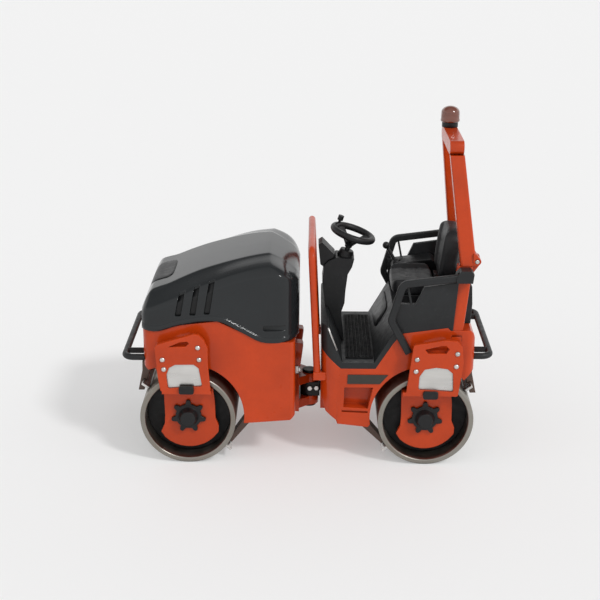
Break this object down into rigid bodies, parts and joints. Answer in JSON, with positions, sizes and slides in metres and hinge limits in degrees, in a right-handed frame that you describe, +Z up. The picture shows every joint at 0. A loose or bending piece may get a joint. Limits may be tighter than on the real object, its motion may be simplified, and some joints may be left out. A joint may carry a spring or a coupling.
{
  "type": "toy road roller",
  "caption": "Model tandem road roller with smooth steel drums, dark hood, orange frame, centre steering joint, operator seat, wheel and folding roll hoop.",
  "frame": {"origin": "floor level under the centre of the overall box, which is also midway between the drum axles", "axes": "+Z up, +X towards the rear (seat and roll hoop), -X towards the hood, +Y towards the machine's right-hand side as seen in the frame"},
  "size_m": [0.053, 0.0256, 0.0492],
  "materials": {
    "orange_paint": "glossy orange enamel on cast metal",
    "hood_paint": "high-gloss dark metallic grey",
    "dark_trim": "satin dark grey moulding",
    "black_trim": "satin black moulding",
    "mat_rubber": "black chequered anti-slip mat",
    "seat_vinyl": "smooth black seat cover",
    "drum_steel": "turned steel with a grey-brown cast",
    "drum_inner": "black painted web",
    "bright_steel": "bright steel",
    "bracket_brown": "dark brown bracket paint",
    "badge": "plain dark label strip, no lettering",
    "screen": "pale grey-green display face",
    "amber_lens": "clear amber beacon lens"
  },
  "bodies": {
    "rear_frame": {"rear_chassis": "orange_paint", "rear_support_plates": "orange_paint", "guard_rail": "orange_paint", "rops_legs": "orange_paint", "rear_buffer_plates": "bright_steel", "rear_hub_stars": "black_trim", "rear_hose_blocks": "black_trim", "rear_plate_bolts": "bright_steel", "rear_scraper_blades": "bright_steel", "rear_scraper_arms": "bracket_brown", "side_badges": "badge", "platform": "dark_trim", "floor_mat": "mat_rubber", "steering_column": "black_trim", "display_housing": "black_trim", "display_screen": "screen", "seat_base": "black_trim", "seat_cushion": "seat_vinyl", "seat_backrest": "seat_vinyl", "side_panels": "dark_trim", "handrail_left": "dark_trim", "handrail_right": "dark_trim", "handrail_clamps": "dark_trim", "control_box": "black_trim", "rear_cover": "dark_trim", "hinge_pins": "bright_steel", "rear_bumper": "dark_trim"},
    "pivot_block": {"pivot_block": "black_trim", "joint_bolts": "bright_steel"},
    "front_frame": {"front_chassis": "orange_paint", "hood": "hood_paint", "hood_louvres": "black_trim", "nose_inlay": "black_trim", "front_support_plates": "orange_paint", "front_buffer_plates": "bright_steel", "front_hub_stars": "black_trim", "front_hose_blocks": "black_trim", "front_plate_bolts": "bright_steel", "front_scraper_blades": "bright_steel", "front_scraper_arms": "bracket_brown", "front_bumper": "dark_trim", "king_pin": "black_trim", "hose_fittings": "bright_steel"},
    "front_drum": {"front_drum_shell": "drum_steel", "front_drum_discs": "drum_inner", "front_drum_axle": "bright_steel"},
    "rear_drum": {"rear_drum_shell": "drum_steel", "rear_drum_discs": "drum_inner", "rear_drum_axle": "bright_steel"},
    "roll_hoop": {"rops_hoop": "orange_paint", "beacon_base": "black_trim", "beacon_lens": "amber_lens"},
    "steering_wheel": {"steering_wheel": "black_trim", "steering_shaft": "black_trim", "spinner_knob": "black_trim"},
    "control_lever": {"lever_stick": "black_trim", "lever_knob": "black_trim"}
  },
  "joints": [
    {"name": "frame_oscillation", "type": "hinge", "parent": "rear_frame", "child": "pivot_block", "pos_m": [0.004, 0, 0.00715], "axis": [1, 0, 0], "range_deg": [-5, 5]},
    {"name": "articulated_steering", "type": "hinge", "parent": "pivot_block", "child": "front_frame", "pos_m": [0.0003, 0, 0.00715], "axis": [0, 0, 1], "range_deg": [-11, 11]},
    {"name": "front_drum_spin", "type": "hinge", "parent": "front_frame", "child": "front_drum", "pos_m": [-0.017, 0, 0.00685], "axis": [0, 1, 0], "continuous": true},
    {"name": "rear_drum_spin", "type": "hinge", "parent": "rear_frame", "child": "rear_drum", "pos_m": [0.017, 0, 0.00685], "axis": [0, 1, 0], "continuous": true},
    {"name": "roll_hoop_fold", "type": "hinge", "parent": "rear_frame", "child": "roll_hoop", "pos_m": [0.02345, 0, 0.0301], "axis": [0, 1, 0], "range_deg": [0, 95]},
    {"name": "steering_wheel_spin", "type": "hinge", "parent": "rear_frame", "child": "steering_wheel", "pos_m": [0.0065, 0, 0.0313], "axis": [0.309, 0, 0.9511], "continuous": true},
    {"name": "control_lever_tilt", "type": "hinge", "parent": "rear_frame", "child": "control_lever", "pos_m": [0.0134, 0.0069, 0.0246], "axis": [0, 1, 0], "range_deg": [-12, 12]}
  ]
}
